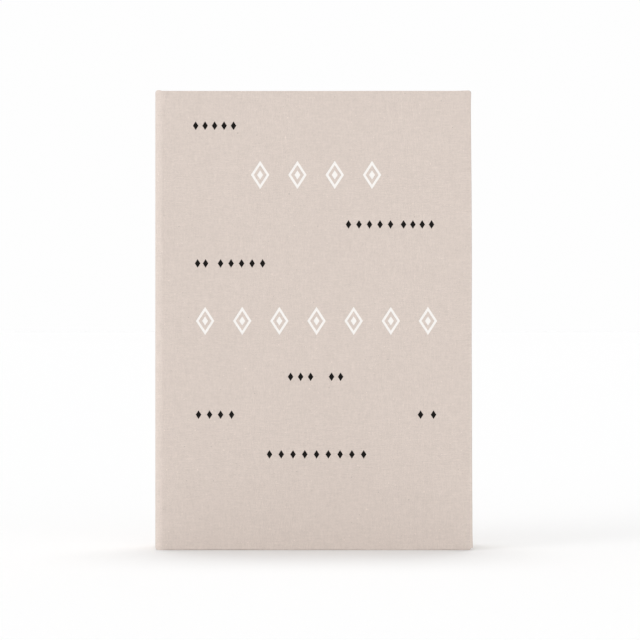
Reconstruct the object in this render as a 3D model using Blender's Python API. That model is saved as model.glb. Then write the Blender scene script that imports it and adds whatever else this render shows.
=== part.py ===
"""Fire blanket kept in a book-style case: two cloth-covered boards and a spine, hinged like a book, with a
board tray glued inside the back cover. The tray holds a folded glass-fibre blanket with two pull straps.

Units are metres. The case stands on its tail: +Z is up, the front cover faces -Y, the spine is at -X.
The origin is at the middle of the case's footprint.

Bodies: root is the back cover, the tray and the blanket; the spine turns on the root about the outer
back corner; the front cover turns on the spine about the outer front corner.
"""

import bmesh
import bpy
from mathutils import Vector

MM = 0.001

# Driving dimensions of the closed case
WIDTH = 175 * MM
HEIGHT = 255 * MM
DEPTH = 42 * MM

# Thicknesses of the materials
CLOTH = 0.45 * MM
COVER_BOARD = 2.4 * MM
SPINE_BOARD = 2.2 * MM
TRAY_BOARD = 2.0 * MM
PAPER = 0.25 * MM
CARD = 0.25 * MM
WEBBING = 1.5 * MM

# Gaps left for glue between layers, and round anything let into a pocket
GLUE = 0.15 * MM
POCKET_GAP = 0.3 * MM

# How the covers are made
TURN_IN = 15 * MM
EDGE_ROUND = 0.8 * MM
BOARD_ROUND = 0.4 * MM
JOINT_WIDTH = 4.2 * MM
SQUARE = 2.8 * MM
LINING_LAP = 13 * MM
ENDPAPER_MARGIN = 3 * MM
SPINE_SHORT_OF_JOINT = 3 * MM

# The tray
TRAY_SPINE_GAP = 4.1 * MM
RIM_TO_FRONT = 4.5 * MM
FORE_WALL_INNER_BOARD = 2.85 * MM

# The closing magnets
MAGNET_LENGTH = 20 * MM
TRAY_MAGNET = Vector((2.25 * MM, 1.8 * MM, MAGNET_LENGTH))
COVER_MAGNET = Vector((6.0 * MM, 1.4 * MM, MAGNET_LENGTH))
MAGNET_HEIGHTS = {"lower": 0.25 * HEIGHT, "upper": 0.75 * HEIGHT}

# The folded blanket and its straps
BLANKET_SIZE = Vector((152 * MM, 27.5 * MM, 240.5 * MM))
BLANKET_ROUND = 4 * MM
STRAP_WIDTH = 25 * MM
STRAP_LENGTH = 190 * MM
STRAP_OFFSET = 38 * MM
STRAP_ROUND = 0.5 * MM

# Size of the instruction panel
PANEL_WIDTH = 120 * MM
PANEL_HEIGHT = 170 * MM

# How far a cutter reaches past what it cuts
PAST = 2 * MM

# Edges of the closed case
LEFT, RIGHT = -WIDTH / 2, WIDTH / 2
FRONT, BACK = -DEPTH / 2, DEPTH / 2
TAIL, HEAD = 0.0, HEIGHT

# Depths of the layers of a cover, counted inwards from the case's outer face
BOARD_FROM = CLOTH + GLUE
BOARD_TO = BOARD_FROM + COVER_BOARD
TURN_IN_FROM = BOARD_TO + GLUE
TURN_IN_TO = TURN_IN_FROM + CLOTH
PAPER_FROM = TURN_IN_TO + GLUE
PAPER_TO = PAPER_FROM + PAPER

# Depths of the layers of the spine, counted from the case's outer left face
SPINE_BOARD_TO = BOARD_FROM + SPINE_BOARD
SPINE_TURN_IN_FROM = SPINE_BOARD_TO + GLUE
SPINE_TURN_IN_TO = SPINE_TURN_IN_FROM + CLOTH
SPINE_FRONT = FRONT + CLOTH + SPINE_SHORT_OF_JOINT
SPINE_BACK = BACK - CLOTH - SPINE_SHORT_OF_JOINT

# The tray's outer box, and the depths where its floor and rim lie
TRAY_LOW = Vector((LEFT + TRAY_SPINE_GAP, FRONT + RIM_TO_FRONT, TAIL + SQUARE))
TRAY_HIGH = Vector((RIGHT - SQUARE, BACK - PAPER_FROM - GLUE, HEAD - SQUARE))
SKIN = PAPER + GLUE
FLOOR_FRONT = TRAY_HIGH.y - TRAY_BOARD
WALL_BACK = FLOOR_FRONT - GLUE
WALL_FRONT = TRAY_LOW.y + SKIN
THIN_WALL = TRAY_BOARD + 2 * SKIN
FORE_WALL = TRAY_BOARD + GLUE + FORE_WALL_INNER_BOARD + 2 * SKIN

# The space inside the wrapped tray walls
INSIDE_LOW = Vector((TRAY_LOW.x + THIN_WALL, TRAY_LOW.y, TRAY_LOW.z + THIN_WALL))
INSIDE_HIGH = Vector((TRAY_HIGH.x - FORE_WALL, FLOOR_FRONT - SKIN, TRAY_HIGH.z - THIN_WALL))

COLOURS = {
    "book_cloth": ((0.68, 0.60, 0.54), 0.85, 0.0),
    "greyboard": ((0.42, 0.40, 0.37), 0.9, 0.0),
    "paper": ((0.83, 0.79, 0.73), 0.75, 0.0),
    "panel_card": ((0.87, 0.85, 0.81), 0.6, 0.0),
    "magnet_steel": ((0.55, 0.55, 0.56), 0.35, 1.0),
    "glass_fibre": ((0.86, 0.85, 0.80), 0.55, 0.0),
    "webbing": ((0.02, 0.02, 0.022), 0.7, 0.0),
}


def clear_scene():
    for thing in list(bpy.data.objects):
        bpy.data.objects.remove(thing, do_unlink=True)


def new_collection(name):
    collection = bpy.data.collections.new(name)
    bpy.context.scene.collection.children.link(collection)
    return collection


def make_material(name):
    colour, roughness, metallic = COLOURS[name]
    material = bpy.data.materials.new(name)
    material.use_nodes = True
    shader = material.node_tree.nodes["Principled BSDF"]
    shader.inputs["Base Color"].default_value = (*colour, 1.0)
    shader.inputs["Roughness"].default_value = roughness
    shader.inputs["Metallic"].default_value = metallic
    return material


def box_mesh(mesh_name, low, high, rounded_edges=None, radius=0.0, segments=1):
    """A box between two corners, measured from its own middle. rounded_edges picks the edges to round."""
    size = Vector(high) - Vector(low)
    shape = bmesh.new()
    bmesh.ops.create_cube(shape, size=1.0)
    bmesh.ops.scale(shape, vec=size, verts=shape.verts)
    if radius:
        chosen = [e for e in shape.edges if rounded_edges is None or rounded_edges(e)]
        bmesh.ops.bevel(
            shape, geom=chosen, offset=radius, segments=segments, profile=0.5, affect="EDGES"
        )
    mesh = bpy.data.meshes.new(mesh_name)
    shape.to_mesh(mesh)
    shape.free()
    return mesh


def place(name, mesh, low, high, collection, parent=None):
    """Puts a mesh at the middle of its box, under its body's empty if it has one."""
    thing = bpy.data.objects.new(name, mesh)
    collection.objects.link(thing)
    thing.parent = parent
    middle = (Vector(low) + Vector(high)) / 2
    thing.location = middle - (parent.location if parent else Vector())
    return thing


def away_from_joint(edge):
    """True for the edges of a cover that aren't on its joint side."""
    return max(vertex.co.x for vertex in edge.verts) > 0


def outer_spine_edge(edge):
    """True for the head and tail edges of the spine's outer face."""
    return all(vertex.co.x < 0 for vertex in edge.verts) and abs(
        edge.verts[0].co.y - edge.verts[1].co.y
    ) > abs(edge.verts[0].co.z - edge.verts[1].co.z)


class Case:
    """Holds the collections, bodies and materials, and adds named solids to them."""

    def __init__(self):
        self.parts = new_collection("fire_blanket_case")
        self.cutters = new_collection("cutters")
        self.materials = {name: make_material(name) for name in COLOURS}
        self.root = self.body("root_body", (0, 0, 0))
        self.spine = self.body("spine_body", (LEFT, BACK, 0))
        self.cover = self.body("cover_body", (LEFT, FRONT, 0))

    def body(self, name, origin):
        """An empty on the body's joint axis, which its solids are parented to."""
        empty = bpy.data.objects.new(name, None)
        empty.empty_display_size = 20 * MM
        empty.location = origin
        self.parts.objects.link(empty)
        return empty

    def block(self, name, low, high, material, parent, radius=0.0, edges=None, segments=1):
        mesh = box_mesh(name, low, high, edges, radius, segments)
        mesh.materials.append(self.materials[material])
        return place(name, mesh, low, high, self.parts, parent)

    def cut(self, target, low, high):
        """Takes a box out of a solid."""
        name = f"{target.name}_cutter_{len(target.modifiers)}"
        cutter = place(name, box_mesh(name, low, high), low, high, self.cutters)
        cutter.hide_render = True
        cutter.display_type = "WIRE"
        boolean = target.modifiers.new(name, "BOOLEAN")
        boolean.operation = "DIFFERENCE"
        boolean.solver = "EXACT"
        boolean.object = cutter


def cover_span(side, depth_a, depth_b):
    """The Y range of a cover's layer: side is -1 for the front cover and 1 for the back cover."""
    ends = (side * (DEPTH / 2 - depth_a), side * (DEPTH / 2 - depth_b))
    return min(ends), max(ends)


def make_cover_board(case, name, side, parent):
    near, far = cover_span(side, BOARD_FROM, BOARD_TO)
    low = (LEFT + JOINT_WIDTH, near, TAIL + BOARD_FROM)
    high = (RIGHT - BOARD_FROM, far, HEAD - BOARD_FROM)
    return case.block(name, low, high, "greyboard", parent, BOARD_ROUND)


def make_cover_cloth(case, name, side, parent):
    """Cloth over a cover's outer face, turned in round three edges, with the bare joint strip beside it."""
    near, far = cover_span(side, 0, TURN_IN_TO)
    low, high = (LEFT, near, TAIL), (RIGHT, far, HEAD)
    cloth = case.block(name, low, high, "book_cloth", parent, EDGE_ROUND, away_from_joint, 2)
    near, far = cover_span(side, CLOTH, TURN_IN_FROM)
    case.cut(cloth, (LEFT - PAST, near, TAIL + CLOTH), (RIGHT - CLOTH, far, HEAD - CLOTH))
    near, far = cover_span(side, CLOTH + GLUE, TURN_IN_TO + PAST)
    case.cut(cloth, (LEFT - PAST, near, TAIL + TURN_IN), (RIGHT - TURN_IN, far, HEAD - TURN_IN))
    near, far = cover_span(side, CLOTH, TURN_IN_TO + PAST)
    case.cut(cloth, (LEFT - PAST, near, TAIL - PAST), (LEFT + JOINT_WIDTH, far, HEAD + PAST))


def make_joint_lining(case, name, side, parent):
    """The strip that strengthens a joint, where it laps onto the inside of the cover board."""
    near, far = cover_span(side, TURN_IN_FROM, TURN_IN_FROM + PAPER)
    low = (LEFT + JOINT_WIDTH, near, TAIL + TURN_IN + POCKET_GAP)
    high = (LEFT + JOINT_WIDTH + LINING_LAP, far, HEAD - TURN_IN - POCKET_GAP)
    case.block(name, low, high, "paper", parent)


def make_front_cover(case):
    board = make_cover_board(case, "front_board", -1, case.cover)
    make_cover_cloth(case, "front_cloth", -1, case.cover)
    make_joint_lining(case, "cover_joint_lining", -1, case.cover)
    make_front_endpaper(case)
    make_instruction_panel(case)
    for place_name, height in MAGNET_HEIGHTS.items():
        make_cover_magnet(case, place_name, height, board)


def make_front_endpaper(case):
    """Paper pasted over the inside of the front board and its turned-in cloth."""
    near, far = cover_span(-1, PAPER_FROM, PAPER_TO)
    low = (LEFT + JOINT_WIDTH + ENDPAPER_MARGIN, near, TAIL + ENDPAPER_MARGIN)
    high = (RIGHT - ENDPAPER_MARGIN, far, HEAD - ENDPAPER_MARGIN)
    case.block("front_endpaper", low, high, "paper", case.cover)


def make_instruction_panel(case):
    """A card pasted on the middle of the endpaper."""
    near, far = cover_span(-1, PAPER_TO + GLUE, PAPER_TO + GLUE + CARD)
    low = (-PANEL_WIDTH / 2, near, (HEIGHT - PANEL_HEIGHT) / 2)
    high = (PANEL_WIDTH / 2, far, (HEIGHT + PANEL_HEIGHT) / 2)
    case.block("instruction_panel", low, high, "panel_card", case.cover)


def make_cover_magnet(case, place_name, height, board):
    """A bar magnet in a pocket that opens on the board's inner face."""
    low = Vector((magnet_middle() - COVER_MAGNET.x / 2, 0, height - MAGNET_LENGTH / 2))
    low.y = FRONT + BOARD_TO - GLUE - COVER_MAGNET.y
    high = low + COVER_MAGNET
    case.block(f"cover_magnet_{place_name}", low, high, "magnet_steel", case.cover)
    gap = Vector((POCKET_GAP, POCKET_GAP, POCKET_GAP))
    case.cut(board, low - gap, high + gap + Vector((0, PAST, 0)))


def make_back_cover(case):
    make_cover_board(case, "back_board", 1, case.root)
    make_cover_cloth(case, "back_cloth", 1, case.root)
    make_joint_lining(case, "back_joint_lining", 1, case.root)


def make_spine(case):
    low = (LEFT + BOARD_FROM, SPINE_FRONT, TAIL + BOARD_FROM)
    high = (LEFT + SPINE_BOARD_TO, SPINE_BACK, HEAD - BOARD_FROM)
    case.block("spine_board", low, high, "greyboard", case.spine)
    low = (LEFT, SPINE_FRONT, TAIL)
    high = (LEFT + SPINE_TURN_IN_TO, SPINE_BACK, HEAD)
    cloth = case.block(
        "spine_cloth", low, high, "book_cloth", case.spine, EDGE_ROUND, outer_spine_edge, 2
    )
    front, back = SPINE_FRONT - PAST, SPINE_BACK + PAST
    low = (LEFT + CLOTH, front, TAIL + CLOTH)
    high = (LEFT + SPINE_TURN_IN_FROM, back, HEAD - CLOTH)
    case.cut(cloth, low, high)
    low = (LEFT + BOARD_FROM, front, TAIL + TURN_IN)
    high = (LEFT + SPINE_TURN_IN_TO + PAST, back, HEAD - TURN_IN)
    case.cut(cloth, low, high)
    low = (LEFT + SPINE_TURN_IN_FROM, SPINE_FRONT, TAIL + TURN_IN + POCKET_GAP)
    high = (LEFT + SPINE_TURN_IN_FROM + PAPER, SPINE_BACK, HEAD - TURN_IN - POCKET_GAP)
    case.block("spine_lining", low, high, "paper", case.spine)


def magnet_middle():
    """X of the line that the closing magnets lie on, the middle of the inner fore-edge board."""
    return INSIDE_HIGH.x + SKIN + FORE_WALL_INNER_BOARD / 2


def make_tray_walls(case):
    """Four board walls standing on the floor board, the fore-edge one doubled to take the magnets."""
    left, right = TRAY_LOW.x + SKIN, TRAY_HIGH.x - SKIN
    bottom, top = TRAY_LOW.z + SKIN, TRAY_HIGH.z - SKIN

    def wall(name, low_x, high_x, low_z, high_z):
        low, high = (low_x, WALL_FRONT, low_z), (high_x, WALL_BACK, high_z)
        return case.block(name, low, high, "greyboard", case.root)

    wall("tray_tail_wall", left, right, bottom, bottom + TRAY_BOARD)
    wall("tray_head_wall", left, right, top - TRAY_BOARD, top)
    side_low, side_high = bottom + TRAY_BOARD + GLUE, top - TRAY_BOARD - GLUE
    wall("tray_spine_wall", left, left + TRAY_BOARD, side_low, side_high)
    wall("tray_fore_edge_wall", right - TRAY_BOARD, right, side_low, side_high)
    inner_right = right - TRAY_BOARD - GLUE
    inner_left = inner_right - FORE_WALL_INNER_BOARD
    liner = wall("tray_fore_edge_liner", inner_left, inner_right, side_low, side_high)
    for place_name, height in MAGNET_HEIGHTS.items():
        make_tray_magnet(case, place_name, height, liner)


def make_tray_magnet(case, place_name, height, liner):
    """A bar magnet in a notch cut right across the rim of the fore-edge liner."""
    middle = magnet_middle()
    low = Vector((middle - TRAY_MAGNET.x / 2, WALL_FRONT, height - MAGNET_LENGTH / 2))
    high = low + TRAY_MAGNET
    case.block(f"tray_magnet_{place_name}", low, high, "magnet_steel", case.root)
    reach = FORE_WALL_INNER_BOARD / 2 + PAST
    notch_low = (middle - reach, WALL_FRONT - PAST, low.z - POCKET_GAP)
    notch_high = (middle + reach, high.y + POCKET_GAP, high.z + POCKET_GAP)
    case.cut(liner, notch_low, notch_high)


def make_tray_wrap(case):
    """Paper glued over the walls: down the outside, over the rim and down the inside, all the way round."""
    wrap = case.block("tray_wrap", TRAY_LOW, TRAY_HIGH, "paper", case.root)
    behind = TRAY_HIGH.y + PAST
    case.cut(
        wrap,
        (INSIDE_LOW.x, TRAY_LOW.y - PAST, INSIDE_LOW.z),
        (INSIDE_HIGH.x, behind, INSIDE_HIGH.z),
    )
    # One slot for each wall, and a wide one behind them for the floor board
    left, right = TRAY_LOW.x + PAPER, TRAY_HIGH.x - PAPER
    bottom, top = TRAY_LOW.z + PAPER, TRAY_HIGH.z - PAPER
    slots = (
        (left, right, bottom, INSIDE_LOW.z - PAPER),
        (left, right, INSIDE_HIGH.z + PAPER, top),
        (left, INSIDE_LOW.x - PAPER, bottom, top),
        (INSIDE_HIGH.x + PAPER, right, bottom, top),
    )
    for low_x, high_x, low_z, high_z in slots:
        case.cut(wrap, (low_x, TRAY_LOW.y + PAPER, low_z), (high_x, behind, high_z))
    case.cut(wrap, (left, WALL_BACK, bottom), (right, behind, top))


def make_tray(case):
    floor_low = (TRAY_LOW.x + SKIN, FLOOR_FRONT, TRAY_LOW.z + SKIN)
    floor_high = (TRAY_HIGH.x - SKIN, TRAY_HIGH.y, TRAY_HIGH.z - SKIN)
    case.block("tray_floor", floor_low, floor_high, "greyboard", case.root)
    make_tray_walls(case)
    make_tray_wrap(case)
    edge = Vector((POCKET_GAP, 0, POCKET_GAP))
    low = Vector((INSIDE_LOW.x, INSIDE_HIGH.y, INSIDE_LOW.z)) + edge
    high = Vector((INSIDE_HIGH.x, INSIDE_HIGH.y + PAPER, INSIDE_HIGH.z)) - edge
    case.block("tray_floor_lining", low, high, "paper", case.root)


def make_blanket(case):
    """The folded pack, standing on the tray's tail wall, and the two straps on its front."""
    middle_x = (INSIDE_LOW.x + INSIDE_HIGH.x) / 2
    low = Vector((middle_x - BLANKET_SIZE.x / 2, 0, INSIDE_LOW.z + POCKET_GAP))
    low.y = INSIDE_HIGH.y - POCKET_GAP - BLANKET_SIZE.y
    case.block(
        "fire_blanket", low, low + BLANKET_SIZE, "glass_fibre", case.root, BLANKET_ROUND, None, 3
    )
    for name, offset in (("pull_strap_left", -STRAP_OFFSET), ("pull_strap_right", STRAP_OFFSET)):
        x = middle_x + offset
        front = low.y - POCKET_GAP - WEBBING
        top = low.z + BLANKET_SIZE.z - BLANKET_ROUND
        strap_low = (x - STRAP_WIDTH / 2, front, top - STRAP_LENGTH)
        strap_high = (x + STRAP_WIDTH / 2, front + WEBBING, top)
        case.block(name, strap_low, strap_high, "webbing", case.root, STRAP_ROUND, None, 2)


def main():
    clear_scene()
    case = Case()
    make_back_cover(case)
    make_tray(case)
    make_blanket(case)
    make_spine(case)
    make_front_cover(case)


main()
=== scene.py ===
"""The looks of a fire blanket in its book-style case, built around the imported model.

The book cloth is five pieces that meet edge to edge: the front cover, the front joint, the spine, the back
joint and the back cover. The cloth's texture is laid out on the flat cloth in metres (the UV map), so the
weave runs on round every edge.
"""

import math

import bmesh
import bpy
import numpy as np
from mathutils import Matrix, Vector, geometry, noise


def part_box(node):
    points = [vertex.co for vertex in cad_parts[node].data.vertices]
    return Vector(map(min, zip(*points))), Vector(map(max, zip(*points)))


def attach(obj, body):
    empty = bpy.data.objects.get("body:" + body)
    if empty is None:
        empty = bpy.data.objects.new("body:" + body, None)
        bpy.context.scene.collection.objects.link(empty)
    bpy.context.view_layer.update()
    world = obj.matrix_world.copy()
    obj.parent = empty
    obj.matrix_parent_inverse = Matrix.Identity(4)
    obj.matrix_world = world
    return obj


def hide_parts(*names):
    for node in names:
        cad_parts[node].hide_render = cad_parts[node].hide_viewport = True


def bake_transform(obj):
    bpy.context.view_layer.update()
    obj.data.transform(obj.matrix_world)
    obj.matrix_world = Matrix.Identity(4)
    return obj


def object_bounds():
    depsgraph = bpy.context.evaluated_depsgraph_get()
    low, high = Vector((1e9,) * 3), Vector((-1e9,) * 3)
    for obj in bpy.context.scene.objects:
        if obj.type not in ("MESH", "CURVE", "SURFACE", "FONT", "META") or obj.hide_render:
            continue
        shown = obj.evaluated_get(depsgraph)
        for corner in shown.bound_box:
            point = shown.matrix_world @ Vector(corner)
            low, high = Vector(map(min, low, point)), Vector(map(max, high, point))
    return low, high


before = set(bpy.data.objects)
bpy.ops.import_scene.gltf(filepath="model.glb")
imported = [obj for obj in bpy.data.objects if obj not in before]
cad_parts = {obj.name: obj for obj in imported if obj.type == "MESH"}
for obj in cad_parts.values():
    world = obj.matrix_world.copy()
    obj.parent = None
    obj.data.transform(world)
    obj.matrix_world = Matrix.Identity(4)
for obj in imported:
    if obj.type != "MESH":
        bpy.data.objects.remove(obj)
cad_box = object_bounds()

MM = 0.001

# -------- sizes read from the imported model
(LEFT, FRONT, TAIL), (RIGHT, BACK, HEAD) = cad_box
HEIGHT = HEAD - TAIL
COVER_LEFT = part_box("front_board")[0].x
COVER_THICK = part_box("front_cloth")[1].y - FRONT
SPINE_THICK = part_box("spine_cloth")[1].x - LEFT
SPINE_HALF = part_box("spine_cloth")[1].y
TRAY_LOW, TRAY_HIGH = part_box("tray_wrap")
FLOOR_LOW, FLOOR_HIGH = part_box("tray_floor_lining")
PAPER_LOW, PAPER_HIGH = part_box("front_endpaper")
PANEL_LOW, PANEL_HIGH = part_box("instruction_panel")
PACK_LOW, PACK_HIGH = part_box("fire_blanket")
PACK_MIDDLE = (PACK_LOW + PACK_HIGH) / 2
STRAP_BOXES = {name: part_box(name) for name in ("pull_strap_left", "pull_strap_right")}

# -------- sizes of the finished surfaces
# Points closer than WELD are one point. CLEARANCE sizes keep one surface off another.
WELD = 0.002 * MM
EDGE_RADIUS = 0.4 * MM
CORNER_RADIUS = 1.3 * MM
TURN_IN = 15 * MM
TURN_IN_STEP = 0.4 * MM
JOINT_WIDTH = 4.5 * MM
JOINT_FULLNESS = 1.18
JOINT_THICK = 0.6 * MM
JOINT_LAP = 0.6 * MM
CREASE_DEPTH = 0.06 * MM
SPINE_CORNER = 1.5 * MM
HEAD_FALL_START = 1.9 * MM
HEAD_FALL_RUN = 2.4 * MM
HEAD_FALL_DEPTH = 5 * MM
BOARD_CLEARANCE = 0.45 * MM
END_CLEARANCE = 0.05 * MM
PASTE = 0.02 * MM
COVER_LIFT = 0.10 * MM
COVER_DROP = 0.5 * MM
WAVE = 0.14 * MM
WAVE_RUN = 45 * MM
WRINKLE = 0.06 * MM
WRINKLE_RUN = 7 * MM
CORNER_SWELL = 0.25 * MM
CORNER_SWELL_RUN = 5 * MM
EDGE_BOW = 0.45 * MM
BOW_RUN = 60 * MM
TAIL_SPREAD = 0.55 * MM
DEBOSS_DEPTH = 0.16 * MM
DEBOSS_SLOPE = 0.12 * MM
MARK_CLEARANCE = 3 * MM
FOIL_INSET = 0.8 * DEBOSS_SLOPE
FOIL_THICK = 0.04 * MM
THREAD_PITCH = 0.55 * MM
RIM_RADIUS = 0.7 * MM
WRAP_CORNER = 0.6 * MM
WRAP_THICK = 0.2 * MM
WRAP_BULGE = 0.08 * MM
WRAP_BULGE_RUN = 31 * MM
ENDPAPER_SINK = 0.25 * MM
ENDPAPER_STEP = 0.8 * MM
PAPER_CORNER = 0.4 * MM
CARD_CORNER = 3 * MM
CARD_EDGE = 0.08 * MM
CARD_LIFT = 0.04 * MM
# A drawing's place, as a share of the card's size from its middle, and its border, as a share of that
DRAWING_STEP, DRAWING_SHARE = 0.235, 0.88
LINE_WIDTH = 0.9 * MM
INK_LIFT = 0.015 * MM

# -------- the blanket's folds and the straps
# The cloth is folded into two stacks side by side, and the strip that they make into panels.
LAYERS = 8
FOLD_WIDTH = 75 * MM
LAYER_PITCH = 0.6 * MM
BEND = LAYER_PITCH / 2
HEM_WIDTH = 12 * MM
HEM_SEAM = 0.72 * HEM_WIDTH
STACK = LAYERS * LAYER_PITCH
TOP_LAYER = STACK - LAYER_PITCH
PANELS = 5
PANEL_PITCH = 5.55 * MM
STRAIGHT = 229 * MM
VALLEY_DEPTH, VALLEY_WIDTH = 0.075, 2.6 * MM
SPRING_HEIGHT, SPRING_PLACE, SPRING_WIDTH = 0.02, 68 * MM, 6 * MM
SIDE_SINK, END_SINK = 0.14, 0.05
LONG_WAVE, LONG_RUN = 0.75 * MM, 55 * MM
SHORT_WAVE, SHORT_RUN = 0.22 * MM, 26 * MM
FINE_WAVE, FINE_RUN = 0.07 * MM, 9 * MM
STRAY_X, STRAY_Z, STRAY_RUN = 1.5 * MM, 1.2 * MM, 30 * MM
PACK_GAP = 0.3 * MM
GLASS_THICK = 0.43 * MM
GLASS_PITCH = 0.75 * MM
RIB_PITCH = 0.8 * MM
WEB_THICK = 0.68 * MM
WEB_EDGE = 0.35 * MM
WEB_GAP = 0.1 * MM
WEB_WANDER, WANDER_RUN = 0.35 * MM, 60 * MM
SEAM_MARGIN = 3 * MM
STITCH_STEP = 3.6 * MM
STITCH_LENGTH = 2.7 * MM
THREAD_RADIUS = 0.22 * MM
THREAD_SIDES = 6
# A stitch tapers: (place along it, share of the full radius) for each of its rings
STITCH_RINGS = ((0.0, 0.35), (0.15, 0.85), (0.5, 1.0), (0.85, 0.85), (1.0, 0.35))

# -------- colours, in linear light
CLOTH_COLOUR = (0.664, 0.578, 0.525)
WHITE_FOIL = (0.86, 0.835, 0.81)
BLACK_FOIL = (0.003, 0.002, 0.0015)
PAPER_COLOUR = (0.74, 0.675, 0.61)
CARD_COLOUR = (0.80, 0.78, 0.74)
INK_COLOUR = (0.015, 0.014, 0.013)
PALE_THREAD = (0.55, 0.53, 0.48)
DARK_THREAD = (0.30, 0.30, 0.29)

# -------- the marks on the front cover
# Plain lozenges stand in rows. A row is (left, right, bottom, count), in millimetres from the case's
# middle and its tail.
TITLE_ROWS = ((-34.5, 38.0, 199.9, 4), (-65.0, 69.0, 119.0, 7))
SMALL_ROWS = (
    (-66.6, -42.3, 232.6, 5),
    (18.1, 44.7, 177.9, 5),
    (48.6, 67.4, 177.9, 4),
    (-65.5, -57.8, 156.3, 2),
    (-52.8, -26.2, 156.3, 5),
    (-14.0, 0.4, 93.5, 3),
    (8.7, 17.0, 93.5, 2),
    (-65.0, -43.4, 72.5, 4),
    (58.0, 68.5, 72.5, 2),
    (-25.7, 29.8, 50.5, 9),
)
TITLE_SIZE = (10.5 * MM, 16.0 * MM)
TITLE_STROKE = 1.5 * MM
TITLE_CORE = 0.34
SMALL_SIZE = (3.3 * MM, 5.1 * MM)
EDGE_MARGIN = 0.005

# -------- camera and room
VIEW_WIDTH = 354.6 * MM
CAMERA_DISTANCE = 1.6
CAMERA_RIGHT = 3.94 * MM
SENSOR_MM = 36.0
FLOOR_REACH = 30.0
WALL_LIGHT = 0.99
# The room's light changes with direction: (axis, from, to, change) for each step
ROOM_LIGHT = (("Z", 0.15, 0.6, -0.41), ("X", -0.2, -0.9, 0.15), ("Y", -0.2, -0.9, 0.20))
# Each sun is (name, direction that it shines in, spread in degrees, strength)
SUNS = (
    ("key", (1.0, 0.7, -0.12), 40.0, 1.35),
    ("top", (0.0, -0.29, -1.0), 27.0, 0.93),
)


# ======== mesh helpers
def smoothstep(t):
    t = min(max(t, 0.0), 1.0)
    return t * t * (3 - 2 * t)


def ripple(x, z, scale, seed):
    """Smooth noise between about -1 and 1."""
    return noise.noise(Vector((x / scale, z / scale, seed)))


def add_object(name, data):
    made = bpy.data.objects.new(name, data)
    bpy.context.scene.collection.objects.link(made)
    return made


def make_piece(name, points, faces, material, uvs=None, sharp=30, close=True):
    """A mesh object, shaded smooth up to the angle sharp, with UVs in metres."""
    mesh = bpy.data.meshes.new(name)
    mesh.from_pydata([tuple(p) for p in points], [], [tuple(f) for f in faces])
    if uvs is not None:
        layer = mesh.uv_layers.new(name="cloth")
        for loop in mesh.loops:
            layer.data[loop.index].uv = uvs[loop.vertex_index]
    shape = bmesh.new()
    shape.from_mesh(mesh)
    bmesh.ops.remove_doubles(shape, verts=shape.verts, dist=WELD)
    bmesh.ops.dissolve_degenerate(shape, dist=WELD / 2, edges=shape.edges)
    # On a closed shape, all faces are turned to look outwards
    if close:
        bmesh.ops.recalc_face_normals(shape, faces=shape.faces)
    shape.to_mesh(mesh)
    shape.free()
    mesh.shade_smooth()
    mesh.set_sharp_from_angle(angle=math.radians(sharp))
    mesh.materials.append(material)
    return add_object(name, mesh)


def even_shading(piece):
    """Large flat faces keep flat shading where they meet a rounded edge."""
    weighted = piece.modifiers.new("weighted_normal", "WEIGHTED_NORMAL")
    weighted.keep_sharp = True
    weighted.weight = 100
    return piece


def loft(rings, start=0, closed=True, ends=False):
    """Faces between rings of equal length, whose points are numbered on from start."""
    size = len(rings[0])
    last = size if closed else size - 1
    faces = []
    for k in range(len(rings) - 1):
        for i in range(last):
            a, b = start + k * size + i, start + k * size + (i + 1) % size
            faces.append((a, b, b + size, a + size))
    if ends:
        final = start + (len(rings) - 1) * size
        faces += [tuple(range(start, start + size)), tuple(range(final, final + size))]
    return faces


def heading(begin, end):
    """The direction from one flat point to another."""
    return Vector((end[0] - begin[0], end[1] - begin[1])).normalized()


def directions(path):
    """The direction that a path runs in at each of its points, seen in its first two coordinates."""
    last = len(path) - 1
    return [heading(path[max(k - 1, 0)], path[min(k + 1, last)]) for k in range(last + 1)]


def rectangle_points(low, high, radius, inset, runs=(40, 60), turns=6):
    """Points round a rectangle with round corners, moved inwards by inset, with the directions outwards.

    low and high are (x, z). runs are the steps along the X sides and the Z sides, so every inset gives
    the same number of points. The first corner is the one at high x and low z.
    """
    centre = max(radius, inset)
    turn = max(radius - inset, 0.0)
    left, right = low[0] + centre, high[0] - centre
    bottom, top = low[1] + centre, high[1] - centre
    bends = []
    for corner, (x, z) in enumerate(((right, bottom), (right, top), (left, top), (left, bottom))):
        angles = [math.radians(90 * (corner - 1) + 90 * k / turns) for k in range(turns + 1)]
        outs = [(math.cos(a), math.sin(a)) for a in angles]
        bends.append([((x + turn * out[0], z + turn * out[1]), out) for out in outs])
    points, outwards = [], []
    for corner, bend in enumerate(bends):
        points += [point for point, _ in bend]
        outwards += [out for _, out in bend]
        # The straight side from this bend to the next
        (begin, out), (end, _) = bend[-1], bends[(corner + 1) % 4][0]
        steps = runs[(corner + 1) % 2]
        for t in (k / steps for k in range(1, steps)):
            points.append((begin[0] + (end[0] - begin[0]) * t, begin[1] + (end[1] - begin[1]) * t))
            outwards.append(out)
    return points, outwards


def quarter(steps=4):
    """(sine, cosine) pairs of a quarter turn."""
    angles = [math.pi / 2 * k / steps for k in range(steps + 1)]
    return [(math.sin(a), math.cos(a)) for a in angles]


def profile_lengths(profile):
    """How far along a line of flat points each of them is."""
    lengths = [0.0]
    for a, b in zip(profile, profile[1:]):
        lengths.append(lengths[-1] + math.hypot(b[0] - a[0], b[1] - a[1]))
    return lengths


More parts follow.
